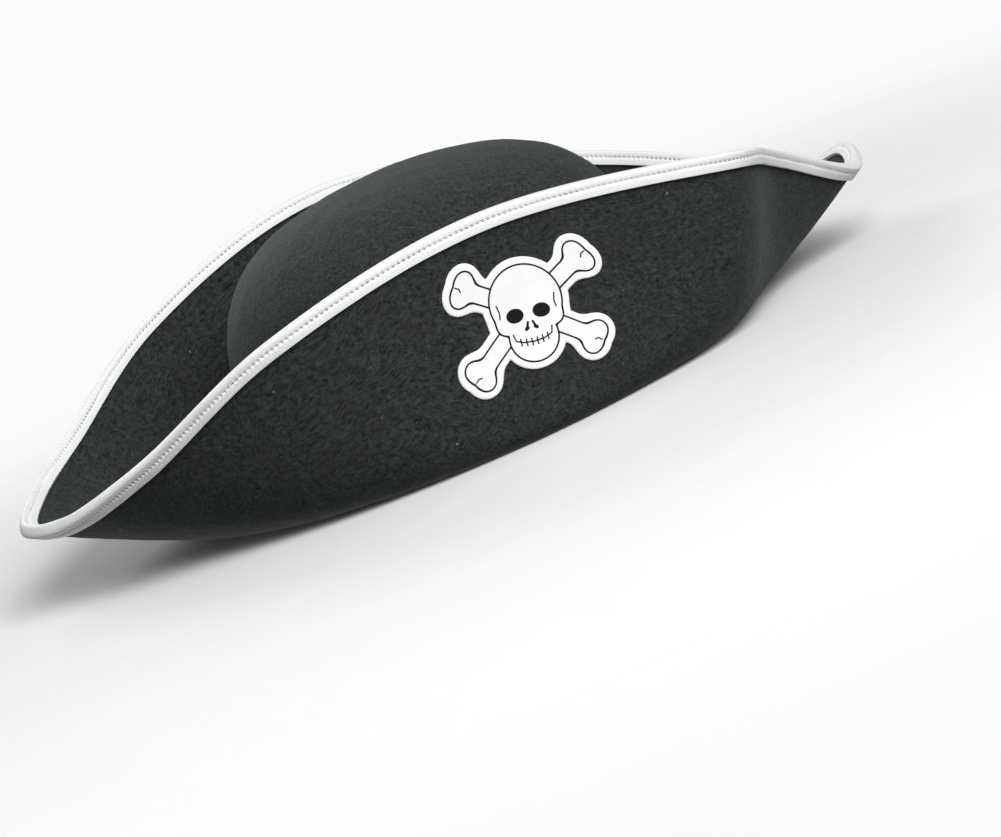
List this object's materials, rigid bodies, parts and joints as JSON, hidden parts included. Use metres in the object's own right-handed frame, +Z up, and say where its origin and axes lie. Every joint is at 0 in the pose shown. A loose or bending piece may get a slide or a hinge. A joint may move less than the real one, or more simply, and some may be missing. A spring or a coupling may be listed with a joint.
{
  "type": "pirate hat",
  "caption": "Black felt pirate hat: domed crown, wide brim turned up at front and rear into two pointed wings, white edge braid, skull patch on the front, inner sweatband with a sewn label.",
  "frame": {"origin": "centre of the head opening, in the plane of the flat underside ring of the brim that the hat rests on", "axes": "+Z up through the crown, the front flap with the patch faces -Y, +X towards the wearer's left wing"},
  "size_m": [0.3599, 0.2389, 0.0987],
  "materials": {
    "felt": "black pressed felt, dull, faint grain and lint",
    "braid": "white woven binding braid, slight sheen",
    "thread_white": "white sewing thread",
    "thread_black": "black sewing thread",
    "band": "black grosgrain ribbon",
    "patch": "white coated cloth, cut to shape",
    "ink": "flat black print",
    "label": "white satin ribbon, blank"
  },
  "bodies": {
    "hat": {"crown": "felt", "brim": "felt", "edge_braid": "braid", "braid_top_thread": "thread_white", "braid_under_thread": "thread_white", "sweatband": "band", "head_seam_thread": "thread_black", "patch_backing": "patch", "patch_outline": "ink", "patch_eye_left": "ink", "patch_eye_right": "ink", "patch_nose_left": "ink", "patch_nose_right": "ink", "patch_mouth": "ink", "label_thread": "thread_white"},
    "care_label": {"care_label": "label"}
  },
  "joints": [
    {"name": "label_flip", "type": "hinge", "parent": "hat", "child": "care_label", "pos_m": [0, 0.0938, 0.026], "axis": [-1, 0, 0], "range_deg": [0, 140]}
  ]
}
